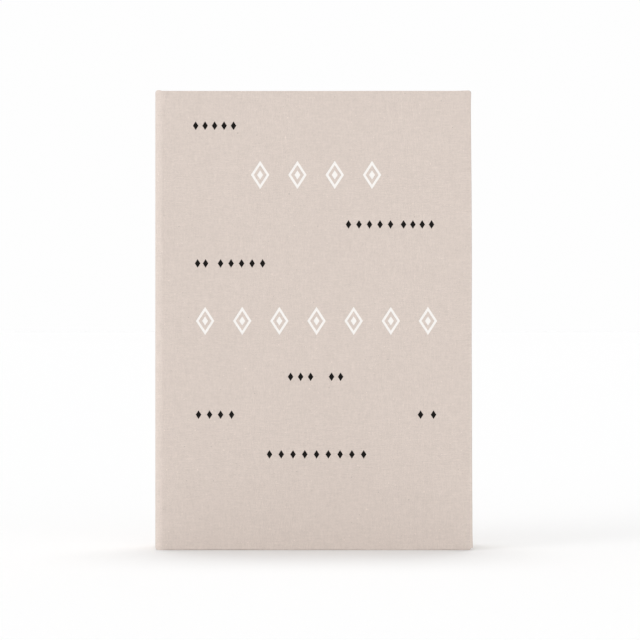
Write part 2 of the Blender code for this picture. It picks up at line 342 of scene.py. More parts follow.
def ring_shell(low, high, radius, profile, place_y, runs=(40, 60), swell=None):
    """Rings of points and UVs round a rectangle: one ring for each (inset, depth) of the profile.

    place_y turns a depth into a Y. swell(x, z) is how far the sides stand out there.
    """
    base, _ = rectangle_points(low, high, radius, profile[0][0], runs)
    rings, uvs = [], []
    for (inset, depth), length in zip(profile, profile_lengths(profile)):
        flat, outwards = rectangle_points(low, high, radius, inset, runs)
        ring, ring_uvs = [], []
        for (x, z), out, start in zip(flat, outwards, base):
            stand = swell(x, z) if swell and depth > 0 and inset < radius else 0.0
            ring.append((x + stand * out[0], place_y(depth), z + stand * out[1]))
            ring_uvs.append((start[0] + out[0] * length, start[1] + out[1] * length))
        rings.append(ring)
        uvs.append(ring_uvs)
    return rings, uvs


def joined(rings):
    return [item for ring in rings for item in ring]


# ======== marks on the cover
def lozenge(centre, size, inset=0.0):
    """The four corners of a lozenge whose sides are moved inwards by inset."""
    half_x, half_z = size[0] / 2, size[1] / 2
    slant = math.hypot(half_x, half_z)
    half_x, half_z = half_x - inset * slant / half_z, half_z - inset * slant / half_x
    x, z = centre
    return [(x + half_x, z), (x, z + half_z), (x - half_x, z), (x, z - half_z)]


def inside_lozenge(point, corners, margin=EDGE_MARGIN):
    x = (corners[0][0] + corners[2][0]) / 2
    z = (corners[1][1] + corners[3][1]) / 2
    half_x, half_z = corners[0][0] - x, corners[1][1] - z
    return abs(point[0] - x) / half_x + abs(point[1] - z) / half_z <= 1 + margin


def row_centres(row, size):
    left, right, bottom, count = row
    first, last = left * MM + size[0] / 2, right * MM - size[0] / 2
    z = bottom * MM + size[1] / 2
    return [(x, z) for x in np.linspace(first, last, count)]


def title_marks():
    """Each title mark is a lozenge ring and a small lozenge in its middle, as (centre, size, stroke)."""
    marks = []
    for row in TITLE_ROWS:
        for centre in row_centres(row, TITLE_SIZE):
            marks.append((centre, TITLE_SIZE, TITLE_STROKE))
            marks.append((centre, tuple(s * TITLE_CORE for s in TITLE_SIZE), None))
    return marks


def small_marks():
    return [(c, SMALL_SIZE, None) for row in SMALL_ROWS for c in row_centres(row, SMALL_SIZE)]


def pressed_area(mark, inset):
    """The edges of a mark's pressed area, moved inwards by inset: its outer corners, then its hole's."""
    centre, size, stroke = mark
    loops = [lozenge(centre, size, inset)]
    if stroke:
        loops.append(lozenge(centre, size, stroke - inset))
    return loops


def is_pressed(point, floors):
    return any(
        inside_lozenge(point, outer) and not any(inside_lozenge(point, h, -EDGE_MARGIN) for h in holes)
        for outer, *holes in floors
    )


def panel_faces(boundary, marks, grid=7 * MM):
    """The flat front of a cover: its points as (x, z, depth) and its triangles, pressed in at the marks."""
    flat, edges = [], []

    def add_loop(loop):
        first = len(flat)
        flat.extend(loop)
        edges.extend((first + k, first + (k + 1) % len(loop)) for k in range(len(loop)))

    add_loop(boundary)
    floors = [pressed_area(mark, DEBOSS_SLOPE) for mark in marks]
    for mark, floor in zip(marks, floors):
        for loop in pressed_area(mark, 0.0) + floor:
            add_loop(loop)
    low, high = np.min(boundary, axis=0), np.max(boundary, axis=0)
    keep_off = [lozenge(centre, [s + MARK_CLEARANCE for s in size]) for centre, size, _ in marks]
    for x in np.arange(low[0] + grid / 2, high[0] - grid / 3, grid):
        for z in np.arange(low[1] + grid / 2, high[1] - grid / 3, grid):
            if not any(inside_lozenge((x, z), corners) for corners in keep_off):
                flat.append((x, z))
    points, _, triangles, *_ = geometry.delaunay_2d_cdt([Vector(p) for p in flat], edges, [], 0, 1e-8)
    depths = [DEBOSS_DEPTH if is_pressed(p, floors) else 0.0 for p in points]
    return [(p[0], p[1], d) for p, d in zip(points, depths)], triangles


def make_foil(name, marks, material):
    """A thin leaf of foil on the floor of each pressed mark of the front cover."""
    points, faces = [], []
    for mark in marks:
        start = len(points)
        loops = pressed_area(mark, FOIL_INSET)
        for depth in (DEBOSS_DEPTH - FOIL_THICK, DEBOSS_DEPTH + FOIL_THICK / 4):
            for loop in loops:
                points += [(x, FRONT + depth, z) for x, z in loop]
        corners = [(start + k, start + (k + 1) % 4) for k in range(4)]
        if len(loops) == 1:
            faces += [tuple(range(start, start + 4)), tuple(range(start + 7, start + 3, -1))]
            faces += [(a, a + 4, b + 4, b) for a, b in corners]
            continue
        # Four strips between the outer and inner corners, above and below, and the two side walls
        for a, b in corners:
            c, d = b + 4, a + 4
            faces += [(a, b, c, d), (a + 8, d + 8, c + 8, b + 8)]
            faces += [(a, a + 8, b + 8, b), (d, c, c + 8, d + 8)]
    uvs = [(x, z) for x, _, z in points]
    return make_piece(name, points, faces, material, uvs)


# ======== covers, spine and joints
def edge_swell(x, z):
    """Cloth edges wander a little, stand out at the folded corners and spread towards the tail."""
    stand = WAVE * ripple(x, z, WAVE_RUN, 1.7)
    for corner_z in (TAIL, HEAD):
        away = math.hypot(x - RIGHT, z - corner_z)
        stand += CORNER_SWELL * math.exp(-((away / CORNER_SWELL_RUN) ** 2))
    if x > RIGHT - CORNER_RADIUS:
        stand += EDGE_BOW * smoothstep((HEAD - z) / BOW_RUN)
        stand += TAIL_SPREAD * (1 - (z - TAIL) / HEIGHT) ** 2
    return stand if z > TAIL + CORNER_RADIUS else min(stand, COVER_LIFT)


def make_cover(name, side, marks, material):
    """A board wrapped in cloth on all sides. side is -1 for the front cover and 1 for the back one."""

    def place_y(depth):
        return FRONT + depth if side < 0 else BACK - depth

    low = (COVER_LEFT - BOARD_CLEARANCE, TAIL + COVER_LIFT)
    high = (RIGHT, HEAD - COVER_DROP)
    r = EDGE_RADIUS
    profile = [(r * (1 - s), r * (1 - c)) for s, c in quarter()]
    profile += [(r * (1 - c), COVER_THICK - r * (1 - s)) for s, c in quarter()]
    profile += [(TURN_IN, COVER_THICK), (TURN_IN + TURN_IN_STEP / 4, COVER_THICK - TURN_IN_STEP)]
    rings, ring_uvs = ring_shell(low, high, CORNER_RADIUS, profile, place_y, swell=edge_swell)
    points, uvs = joined(rings), joined(ring_uvs)
    start = len(points)
    # The last ring is the cover's inside, and the first is the edge of its flat front
    faces = loft(rings) + [tuple(range(start - len(rings[-1]), start))]
    panel, triangles = panel_faces([(x, z) for x, _, z in rings[0]], marks)
    points += [(x, place_y(depth), z) for x, z, depth in panel]
    uvs += [(x, z) for x, z, _ in panel]
    faces += [tuple(start + i for i in triangle) for triangle in triangles]
    cover = make_piece(name, points, faces, material, uvs, sharp=35)
    return even_shading(cover)


def section_loop(thick, steps=64):
    """A wrap's closed section as (depth, z, length along it): up the outside and down the inside."""
    radius, turns = min(JOINT_THICK, thick / 2), 4
    loop, _ = rectangle_points((-thick, TAIL), (0.0, HEAD), radius, 0.0, (1, steps), turns)
    # Begin where the bend at the tail ends and the outside starts
    loop = [(-x, z) for x, z in loop[turns:] + loop[:turns]]
    return [(depth, z, TAIL + along) for (depth, z), along in zip(loop, profile_lengths(loop))]


def rounded_end(x, z):
    """The spine's head and tail corners are round from the front, and its head falls to the cover's."""
    fall = COVER_DROP * smoothstep((x - LEFT - HEAD_FALL_START) / HEAD_FALL_RUN)
    z -= fall * smoothstep((z - HEAD + HEAD_FALL_DEPTH) / HEAD_FALL_DEPTH)
    upper, lower = HEAD - fall - SPINE_CORNER, TAIL + SPINE_CORNER
    away = min(max(SPINE_CORNER - (x - LEFT), 0.0) / SPINE_CORNER, 1.0)
    share = math.sqrt(1 - away * away)
    if z > upper:
        return upper + (z - upper) * share
    if z < lower:
        return lower - (lower - z) * share
    return z


def sweep_wrap(name, path, thick, material, wrinkle=0.0):
    """A skin that follows path, a list of (x, y, u), round the spine, with folded head and tail ends."""
    loop = section_loop(thick)
    rings, uvs = [], []
    for k, ((x, y, u), along) in enumerate(zip(path, directions(path))):
        inward = Vector((-along.y, along.x))
        fade = math.sin(math.pi * k / (len(path) - 1))
        ring = []
        for depth, z, _ in loop:
            shift = depth + wrinkle * fade * ripple(u, z, WRINKLE_RUN, 4.2)
            there = x + inward.x * shift
            ring.append((there, y + inward.y * shift, rounded_end(there, z)))
        rings.append(ring)
        uvs += [(u, v) for _, _, v in loop]
    wrap = make_piece(name, joined(rings), loft(rings, ends=True), material, uvs, sharp=50)
    return even_shading(wrap)


def joint_path(side):
    """(x, y, u) from the spine board's edge, round the case's corner, to the groove beside the cover."""
    corner_y = FRONT if side < 0 else BACK
    reach = abs(corner_y) - SPINE_HALF
    bulge = [(1 - c**JOINT_FULLNESS, 1 - s**JOINT_FULLNESS) for s, c in quarter(18)]
    plan = [(JOINT_WIDTH * x, reach * y) for x, y in bulge]
    lap = COVER_LEFT - LEFT + JOINT_LAP
    for t in (0.25, 0.5, 0.75, 1.0):
        dip = CREASE_DEPTH * math.sin(math.pi * t) ** 2
        plan.append((JOINT_WIDTH + (lap - JOINT_WIDTH) * t, dip))
    # The UV runs on from the cover's X, so that the weave lines up where the cloth lies flat
    lengths = profile_lengths(plan)
    return [
        (LEFT + x, corner_y - side * y, LEFT + lap - (lengths[-1] - along))
        for (x, y), along in zip(plan, lengths)
    ]


def make_spine_and_joints(material):
    front, back = joint_path(-1), joint_path(1)
    half = SPINE_HALF + END_CLEARANCE
    edge_u = front[0][2]
    path = [(LEFT, y, edge_u - SPINE_HALF - y) for y in np.linspace(half, -half, 13)]
    spine = sweep_wrap("spine_cloth_wrap", path, SPINE_THICK, material)
    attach(spine, "spine")
    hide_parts("spine_cloth")
    front_joint = sweep_wrap("front_joint_cloth", front, JOINT_THICK, material, WRINKLE)
    # The back joint is swept the other way, so that its inside also lies to the left of its path
    back_joint = sweep_wrap("back_joint_cloth", back[::-1], JOINT_THICK, material, WRINKLE)
    blend_across(front_joint)
    blend_across(back_joint)


def blend_across(piece):
    """Moves a joint's placement into the points of its mesh."""
    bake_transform(piece)


# ======== materials
class Nodes:
    """Short ways to add shader nodes to a tree."""

    def __init__(self, tree):
        self.tree = tree

    def node(self, kind, inputs=(), **settings):
        """Adds a node. inputs pairs a socket's name or number with a value or another node's output."""
        node = self.tree.nodes.new("ShaderNode" + kind)
        for key, value in settings.items():
            setattr(node, key, value)
        for socket, value in dict(inputs).items():
            self.give(node.inputs[socket], value)
        return node

    def give(self, socket, value):
        """Sets a socket to a value, or links it to another node's output."""
        if isinstance(value, bpy.types.NodeSocket):
            self.tree.links.new(value, socket)
        else:
            socket.default_value = value

    def maths(self, operation, a, b=0.0, c=0.0):
        return self.node("Math", {0: a, 1: b, 2: c}, operation=operation).outputs[0]


class Material(Nodes):
    """A material with a Principled shader, whose patterns are laid out in metres.

    source is "UV" for the flat cloth and "Object" for the case's own frame.
    """

    def __init__(self, name, source, roughness, **sockets):
        self.material = bpy.data.materials.new(name)
        self.material.use_nodes = True
        super().__init__(self.material.node_tree)
        self.shader = self.tree.nodes["Principled BSDF"]
        for socket, value in {"Roughness": roughness, **sockets}.items():
            self.shader.inputs[socket.replace("_", " ")].default_value = value
        self.vector = self.node("TexCoord").outputs[source]

    def scaled(self, vector, scale):
        return self.node("VectorMath", {0: vector, 1: scale}, operation="MULTIPLY").outputs[0]

    def noise(self, scale, detail=2.0):
        """Noise from 0 to 1. scale is a number, or one for each direction, in turns per metre."""
        if not isinstance(scale, tuple):
            scale = (scale, scale, scale)
        inputs = {"Vector": self.scaled(self.vector, scale), "Scale": 1.0, "Detail": detail}
        return self.node("TexNoise", inputs).outputs["Fac"]

    def ramp(self, value, low, high, to_low=0.0, to_high=1.0):
        limits = {"From Min": low, "From Max": high, "To Min": to_low, "To Max": to_high}
        node = self.node("MapRange", {"Value": value} | limits, interpolation_type="SMOOTHSTEP")
        return node.outputs["Result"]

    def mix(self, factor, a, b):
        """A colour between a and b, each of which is (r, g, b) or a socket."""
        node = self.node("Mix", {0: factor}, data_type="RGBA")
        for socket, value in ((node.inputs[6], a), (node.inputs[7], b)):
            self.give(socket, (*value, 1.0) if isinstance(value, tuple) else value)
        return node.outputs[2]

    def fade(self, colour, other, value, low, high, amount=1.0):
        """A colour that gives way to the other one, up to amount, as value rises from low to high."""
        return self.mix(self.ramp(value, low, high, 0.0, amount), colour, other)

    def bump(self, height, distance, strength):
        """Relief of that many metres from a height between 0 and 1."""
        inputs = {"Height": height, "Distance": distance, "Strength": strength}
        return self.node("Bump", inputs).outputs["Normal"]

    def finish(self, colour, normal=None, roughness=None):
        for socket, value in (("Base Color", colour), ("Normal", normal), ("Roughness", roughness)):
            if value is not None:
                self.give(self.shader.inputs[socket], value)
        return self.material


def shade(colour, factor):
    return tuple(min(c * factor, 1.0) for c in colour)


def plain_weave(m, vector, pitch, run=0.3):
    """(height, yarn, both): a plain weave's relief, the top yarn's own shade and the mean of both yarns'.

    Warp threads run along V and weft threads along U. run is how fast a yarn's shade changes, in turns
    per thread.
    """
    threads = m.scaled(vector, (1 / pitch, 1 / pitch, 0.0))
    split = m.node("SeparateXYZ", {0: threads})
    u, v = split.outputs[0], split.outputs[1]
    # Half a wave for each thread, so that neighbouring threads have opposite signs
    across = [m.maths("SINE", m.maths("MULTIPLY", c, math.pi)) for c in (u, v)]
    # The warp comes up where the product is positive, and the weft where it is negative
    up = m.maths("MULTIPLY", *across)
    round_u, round_v = [m.maths("POWER", m.maths("ABSOLUTE", c), 0.6) for c in across]
    warp = m.maths("MULTIPLY", round_u, m.maths("MULTIPLY_ADD", up, 0.5, 0.5))
    weft = m.maths("MULTIPLY", round_v, m.maths("MULTIPLY_ADD", up, -0.5, 0.5))
    height = m.maths("MAXIMUM", warp, weft)
    warp_shows = m.ramp(m.maths("SUBTRACT", warp, weft), -0.12, 0.12)
    shades = []
    for along, number in ((v, u), (u, v)):
        row = m.maths("MULTIPLY", m.maths("FLOOR", number), 7.31)
        point = m.node("CombineXYZ", {0: m.maths("MULTIPLY", along, run), 1: row}).outputs[0]
        shades.append(m.node("TexNoise", {"Vector": point, "Scale": 1.0, "Detail": 1.0}).outputs["Fac"])
    yarn = m.node("Mix", {0: warp_shows, 2: shades[1], 3: shades[0]}).outputs[0]
    both = m.maths("MULTIPLY_ADD", shades[0], 0.44, m.maths("MULTIPLY", shades[1], 0.56))
    return height, yarn, both


def book_cloth():
    """Fine undyed-looking linen cloth on paper: uneven yarns, light slubs and a few dark specks."""
    base = CLOTH_COLOUR
    m = Material("book_cloth", "UV", 0.86, Sheen_Weight=0.15, Sheen_Roughness=0.5, Specular_IOR_Level=0.25)
    drift = m.node("TexNoise", {"Vector": m.vector, "Scale": 90.0, "Detail": 1.0}).outputs["Color"]
    shift = {0: drift, 1: (0.0002,) * 3, 2: m.vector}
    shifted = m.node("VectorMath", shift, operation="MULTIPLY_ADD").outputs[0]
    height, yarn, both = plain_weave(m, shifted, THREAD_PITCH, run=0.10)
    # Each yarn keeps its shade for some way, and each crossing has a shade of its own
    crossing = m.node("VectorMath", {0: m.scaled(shifted, (1 / THREAD_PITCH,) * 3)}, operation="FLOOR")
    own = m.node("TexWhiteNoise", {"Vector": crossing.outputs[0]}, noise_dimensions="2D").outputs["Value"]
    lesser = m.maths("MULTIPLY_ADD", both, 0.51, m.maths("MULTIPLY", own, 0.21))
    shown = m.maths("MULTIPLY_ADD", yarn, 0.28, lesser)
    colour = m.mix(shown, shade(base, 0.835), shade(base, 1.19))
    # Thick light yarns, light knots, dark specks, a faint cloud, and shade between the threads
    colour = m.fade(colour, shade(base, 1.16), yarn, 0.70, 0.78, 0.5)
    colour = m.fade(colour, shade(base, 1.25), m.noise(820.0, 0.0), 0.80, 0.85, 0.8)
    colour = m.fade(colour, shade(base, 0.55), m.noise(950.0, 0.0), 0.85, 0.88, 0.8)
    colour = m.fade(colour, m.mix(0.975, (0, 0, 0), colour), m.noise(21.0, 3.0), 0.3, 0.7, 0.3)
    colour = m.fade(m.mix(0.80, (0, 0, 0), colour), colour, height, 0.15, 0.6)
    relief = m.maths("ADD", height, m.maths("MULTIPLY", both, 0.8))
    return m.finish(colour, m.bump(relief, 0.00009, 0.8))


def foil(name, colour, roughness):
    """Hot-pressed foil, which takes a little of the weave's relief."""
    m = Material(name, "UV", roughness, Specular_IOR_Level=0.12)
    height, _, _ = plain_weave(m, m.vector, THREAD_PITCH)
    shown = m.fade(colour, m.mix(0.5, colour, CLOTH_COLOUR), m.noise(2600.0), 0.62, 0.80, 0.22)
    rough = m.ramp(m.noise(700.0), 0.2, 0.8, roughness - 0.06, roughness + 0.08)
    return m.finish(shown, m.bump(height, 0.00003, 0.7), rough)


def paper(name, colour, roughness=0.85):
    """Sized paper: faint clouds and short fibres."""
    m = Material(name, "Object", roughness, Specular_IOR_Level=0.35)
    cloud = m.noise(35.0, 4.0)
    fibre = m.noise((420.0, 1500.0, 900.0), 3.0)
    shown = m.fade(shade(colour, 0.965), shade(colour, 1.02), cloud, 0.3, 0.7)
    shown = m.fade(shown, shade(colour, 0.90), fibre, 0.60, 0.78, 0.5)
    return m.finish(shown, m.bump(m.noise(1300.0, 4.0), 0.00004, 0.5))


def greyboard():
    """Recycled board: grey pulp with light and dark flecks."""
    m = Material("greyboard", "Object", 0.95, Specular_IOR_Level=0.2)
    shown = m.fade((0.24, 0.225, 0.205), (0.33, 0.31, 0.28), m.noise(260.0, 5.0), 0.3, 0.7)
    shown = m.fade(shown, (0.08, 0.08, 0.09), m.noise(1900.0), 0.68, 0.74)
    shown = m.fade(shown, (0.62, 0.60, 0.56), m.noise(1400.0, 1.0), 0.70, 0.76)
    layers = m.noise((150.0, 5200.0, 150.0))
    relief = m.maths("ADD", m.noise(900.0, 4.0), m.maths("MULTIPLY", layers, 0.5))
    return m.finish(shown, m.bump(relief, 0.0001, 0.6))


def magnet_steel():
    """Nickel plating with a faint haze and fine scratches."""
    m = Material("magnet_steel", "Object", 0.28, Metallic=1.0)
    haze = m.noise(320.0, 3.0)
    scratch = m.noise((9000.0, 9000.0, 160.0))
    shown = m.mix(haze, (0.56, 0.55, 0.52), (0.70, 0.68, 0.63))
    rough = m.ramp(m.maths("ADD", haze, m.maths("MULTIPLY", scratch, 0.4)), 0.4, 1.0, 0.20, 0.42)
    return m.finish(shown, m.bump(scratch, 0.00001, 0.4), rough)


def glass_fibre():
    """Woven glass cloth: white, with a silky lustre along the yarns."""
    m = Material("glass_fibre", "UV", 0.46, Sheen_Weight=0.25, Sheen_Roughness=0.35, Specular_IOR_Level=0.5)
    height, yarn, both = plain_weave(m, m.vector, GLASS_PITCH, run=0.08)
    shown = m.fade((0.64, 0.64, 0.62), (0.80, 0.80, 0.775), yarn, 0.35, 0.68)
    # Painted shade between the threads: the colour is darker where the weave's relief is low
    shown = m.fade((0.50, 0.505, 0.50), shown, height, 0.1, 0.6)
    shown = m.fade(shown, (0.70, 0.69, 0.65), m.noise(30.0, 3.0), 0.3, 0.7, 0.35)
    filaments = m.noise(7000.0, 1.0)
    relief = m.maths("ADD", height, m.maths("MULTIPLY", filaments, 0.2))
    rough = m.ramp(both, 0.3, 0.7, 0.36, 0.56)
    return m.finish(shown, m.bump(relief, 0.00014, 0.9), rough)


def webbing():
    """Black polyester webbing: close ribs across, whose yarns differ a little."""
    m = Material("webbing", "UV", 0.62, Sheen_Weight=0.3, Sheen_Roughness=0.4, Specular_IOR_Level=0.4)
    height, _, both = plain_weave(m, m.scaled(m.vector, (1.0, 0.62, 1.0)), RIB_PITCH)
    shown = m.fade((0.010, 0.010, 0.011), (0.032, 0.032, 0.034), both, 0.35, 0.65)
    # Painted shade between the ribs: the colour is darker where the weave's relief is low
    shown = m.fade((0.004, 0.004, 0.004), shown, height, 0.1, 0.6)
    return m.finish(shown, m.bump(height, 0.00025, 1.0))


def thread(name, colour):
    m = Material(name, "Object", 0.5, Sheen_Weight=0.2, Specular_IOR_Level=0.4)
    twist = m.noise((2600.0, 2600.0, 1300.0))
    shown = m.fade(shade(colour, 0.7), shade(colour, 1.15), twist, 0.35, 0.65)
    return m.finish(shown, m.bump(twist, 0.00008, 0.8))


def printed_ink():
    """Flat black ink that leaves a few pinholes."""
    m = Material("printed_ink", "Object", 0.55, Specular_IOR_Level=0.4)
    pinhole = m.noise(2400.0)
    return m.finish(m.fade(INK_COLOUR, shade(CARD_COLOUR, 0.6), pinhole, 0.66, 0.76, 0.5))


# ======== tray, endpaper and panel
def make_tray_wrap(material):
    """Paper over the tray's walls: up the outside, over the rounded rim and down the inside."""
    outside = (TRAY_LOW.x, TRAY_LOW.z), (TRAY_HIGH.x, TRAY_HIGH.z)
    inside = (FLOOR_LOW.x, FLOOR_LOW.z), (FLOOR_HIGH.x, FLOOR_HIGH.z)
    rim, r = TRAY_LOW.y, RIM_RADIUS
    levels = [(outside, 0.0, TRAY_HIGH.y)]
    levels += [(outside, r * (1 - c), rim + r * (1 - s)) for s, c in quarter()]
    levels += [(inside, -r * (1 - s), rim + r * (1 - c)) for s, c in quarter()]
    levels += [(inside, 0.0, FLOOR_LOW.y)]
    rings = []
    for (low, high), inset, y in levels:
        flat, outwards = rectangle_points(low, high, WRAP_CORNER, inset)
        ring = []
        for (x, z), out in zip(flat, outwards):
            bulge = WRAP_BULGE * ripple(x + z, y * 2, WRAP_BULGE_RUN, 6.3)
            ring.append((x + bulge * out[0], y, z + bulge * out[1]))
        rings.append(ring)
    wrap = make_piece("tray_wrap_paper", joined(rings), loft(rings), material, sharp=50)
    thicken(wrap, WRAP_THICK, -1.0)
    even_shading(wrap)
    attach(wrap, "root")
    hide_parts("tray_wrap")


def thicken(piece, thickness, offset=0.0):
    solid = piece.modifiers.new("thickness", "SOLIDIFY")
    solid.thickness = thickness
    solid.offset = offset
    solid.use_even_offset = False


def make_leaf(name, box, radius, profile, visible_y, material):
    """A thin closed leaf inside the cover. The profile's depths are measured from its visible face."""
    low, high = [(corner.x, corner.z) for corner in box]
    rings, uvs = ring_shell(low, high, radius, profile, lambda depth: visible_y - depth, runs=(30, 45))
    leaf = make_piece(name, joined(rings), loft(rings, ends=True), material, joined(uvs))
    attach(leaf, "cover")
    return leaf


def make_endpaper(material):
    """Paper pasted inside the cover. The cloth turned in under its edges shows as a low step."""
    step = TURN_IN - (PAPER_LOW.x - COVER_LEFT)
    thick = PAPER_HIGH.y - FRONT - COVER_THICK + PASTE
    low_step = step + ENDPAPER_STEP
    profile = [(low_step, ENDPAPER_SINK), (step, 0.0), (0.0, 0.0)]
    profile += [(0.0, thick), (step, thick), (low_step, thick + ENDPAPER_SINK)]
    box = (PAPER_LOW, PAPER_HIGH)
    leaf = make_leaf("front_endpaper_leaf", box, PAPER_CORNER, profile, PAPER_HIGH.y, material)
    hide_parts("front_endpaper")


def make_panel(card, ink):
    """The card inside the cover, with four small line drawings of how the blanket is used."""
    thick = PANEL_HIGH.y - PANEL_LOW.y
    face_y = PAPER_HIGH.y - ENDPAPER_SINK + thick + CARD_LIFT
    profile = [(CARD_EDGE, 0.0), (0.0, CARD_EDGE), (0.0, thick - CARD_EDGE), (CARD_EDGE, thick)]
    box = (PANEL_LOW, PANEL_HIGH)
    leaf = make_leaf("panel_leaf", box, CARD_CORNER, profile, face_y, card)
    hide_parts("instruction_panel")
    middle, size = (PANEL_LOW + PANEL_HIGH) / 2, PANEL_HIGH - PANEL_LOW
    step_x, step_z = size.x * DRAWING_STEP, size.z * DRAWING_STEP
    border = rounded_box(0, 0, step_x * DRAWING_SHARE / MM, step_z * DRAWING_SHARE / MM, 3)
    lines = []
    places = ((-1, 1), (1, 1), (-1, -1), (1, -1))
    for (side, up), draw in zip(places, (draw_pull, draw_spread, draw_cover, draw_wait)):
        # Inside the open cover, left and right are swapped against the case's X
        x, z = middle.x - side * step_x, middle.z + up * step_z
        for shape, closed in [(border, True)] + draw():
            lines.append(([(x - a * MM, z + b * MM) for a, b in shape], closed))
    drawings = make_lines("panel_drawings", lines, face_y, ink)
    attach(drawings, "cover")


# Each drawing is a list of (points in millimetres from its middle, whether the line is closed).
def rounded_box(x, z, half_x, half_z, radius):
    points, _ = rectangle_points((x - half_x, z - half_z), (x + half_x, z + half_z), radius, 0.0, (1, 1))
    return points


def circle(radius, steps=40):
    turns = [2 * math.pi * k / steps for k in range(steps)]
    return [(radius * math.cos(a), radius * math.sin(a)) for a in turns]


def arrow_down(x, top, length):
    tip, head = top - length, 2.6
    barbs = [(x - head, tip + head), (x, tip), (x + head, tip + head)]
    return [([(x, top), (x, tip)], False), (barbs, False)]


def draw_pull():
    """The folded blanket in its case, and an arrow under each pull strap."""
    lines = [(rounded_box(0, 6, 12, 15, 1.5), True)]
    for x in (-5, 5):
        lines.append((rounded_box(x, 3, 1.8, 8, 0.8), True))
        lines += arrow_down(x, -12, 9)
    return lines


def draw_pan(z):
    pan = [(-10, z + 7), (-9, z), (9, z), (10, z + 7)]
    handle = [(9.6, z + 5), (18, z + 6.5)]
    return [(pan, False), (handle, False)]


def draw_spread():
    """The opened blanket above a pan."""
    sheet = [(-13, 22), (13, 22), (12, 4), (0, 2.5), (-12, 4)]
    return [(sheet, True)] + arrow_down(0, -2, 7) + draw_pan(-20)


def draw_cover():
    """The blanket lying over the pan."""
    steps = [k / 12 for k in range(13)]
    dome = [(-15 + 30 * t, -14 + 16 * math.sin(math.pi * t) ** 0.6) for t in steps]
    return [(dome, False)] + draw_pan(-16)


def draw_wait():
    """A clock: the blanket stays in place while everything cools."""
    hands = [(0, 9), (0, 0), (6.5, -3)]
    return [(circle(14), True), (hands, False)]


def make_lines(name, lines, face_y, material):
    """Lines drawn as thin flat ribbons on the face at face_y."""
    section = ((1, 1), (-1, 1), (-1, -1), (1, -1))
    points, faces = [], []
    for line, closed in lines:
        count = len(line)
        rings = []
        for k, here in enumerate(line):
            before = line[k - 1] if closed or k else here
            after = line[(k + 1) % count] if closed or k < count - 1 else here
            a, b = heading(before, here), heading(here, after)
            along = (a + b).normalized()
            stretch = 1 / max(along.dot(b if b.length else a), 0.5)
            out = Vector((-along.y, along.x)) * (LINE_WIDTH / 2 * stretch)
            ring = [(here[0] + s * out.x, face_y + up * INK_LIFT, here[1] + s * out.y) for s, up in section]
            rings.append(ring)
        if closed:
            rings.append(rings[0])
        faces += loft(rings, len(points), ends=not closed)
        points += joined(rings)
    return make_piece(name, points, faces, material)


# ======== blanket and straps
def fold_over(across, side, height):
    """Points round a fold, from the layer at height to the next one."""
    angles = [math.pi * k / 5 for k in range(1, 5)]
    return [(across + side * BEND * math.sin(a), height + BEND * (1 - math.cos(a))) for a in angles]


def across_path():
    """(across, height) of the cloth's right half in the folded strip, from its middle to its hem."""
    inner, outer = BEND, FOLD_WIDTH - BEND
    path = [(0.0, 0.0)]
    for layer in range(LAYERS):
        side = -1 if layer % 2 else 1
        begin, end = (inner, outer)[::side]
        height = layer * LAYER_PITCH
        path += [(across, height) for across in np.linspace(begin, end, 11)]
        if layer < LAYERS - 1:
            path += fold_over(end, side, height)
    # The hem is turned once and lies on top, beside the middle line
    path += fold_over(inner, -1, TOP_LAYER)
    path += [(inner + HEM_WIDTH * k / 3, TOP_LAYER + 2 * BEND) for k in range(4)]
    return path


def strip_path():
    """(Z, panel, share of the bend after it) samples of the folded strip: its panels and their bends."""
    half = STRAIGHT / 2
    samples = []
    for panel in range(PANELS):
        begin, end = (half, -half) if panel % 2 else (-half, half)
        samples += [(z, panel, 0.0) for z in np.linspace(begin, end, 21)]
        if panel < PANELS - 1:
            samples += [(end, panel, k / 10) for k in range(1, 10)]
    return samples


def fold_point(across, height, sample):
    """Where a point of the folded strip lies in the pack, before the pack is softened."""
    z, panel, turn = sample
    # Each fold turns the strip over, so the odd panels run down with their other face in front
    side = -1 if panel % 2 else 1
    offset = side * (height - STACK / 2)
    if not turn:
        return across, panel * PANEL_PITCH + offset, z
    radius = PANEL_PITCH / 2 - offset
    angle = math.pi * turn
    depth = (panel + 0.5) * PANEL_PITCH - radius * math.cos(angle)
    return across, depth, z + side * radius * math.sin(angle)


def soften(across, depth, z):
    """The pack as it lies in the tray: its edges sink, its layers stray and its face is a little uneven."""
    total = (PANELS - 1) * PANEL_PITCH + STACK
    up = min(max((depth + STACK / 2) / total, 0.0), 1.0)
    edge_x = min(abs(across) / FOLD_WIDTH, 1.0)
    edge_z = min(abs(z) / (STRAIGHT / 2 + PANEL_PITCH), 1.0)
    # Between the two stacks the pack is lower, and near its sides the folds spring up
    valley = VALLEY_DEPTH * math.exp(-((across / VALLEY_WIDTH) ** 2))
    spring = SPRING_HEIGHT * math.exp(-(((abs(across) - SPRING_PLACE) / SPRING_WIDTH) ** 2))
    press = 1 + spring - valley - SIDE_SINK * edge_x**14 - END_SINK * edge_z**8
    depth = (depth + STACK / 2) * press
    # The shorter a wave is, the more it keeps to the layers in front
    depth += up * LONG_WAVE * ripple(across, z, LONG_RUN, 3.3)
    depth += up**2 * SHORT_WAVE * ripple(across * 2.4, z + across * 0.8, SHORT_RUN, 8.1)
    depth += up**4 * FINE_WAVE * ripple(across * 1.6 - z, z * 0.7, FINE_RUN, 2.7)
    # Layers stray sideways most at the pack's edges
    outwards = math.copysign(edge_x**2, across)
    across += STRAY_X * ripple(depth * 9, z * 0.5, STRAY_RUN, 1.1) * outwards
    z += STRAY_Z * ripple(depth * 9, across * 0.5, STRAY_RUN, 5.9) * edge_z**2
    return PACK_MIDDLE.x + across, FLOOR_LOW.y - PACK_GAP - depth, PACK_MIDDLE.z + z


def pack_point(across, height, sample):
    return soften(*fold_point(across, height, sample))


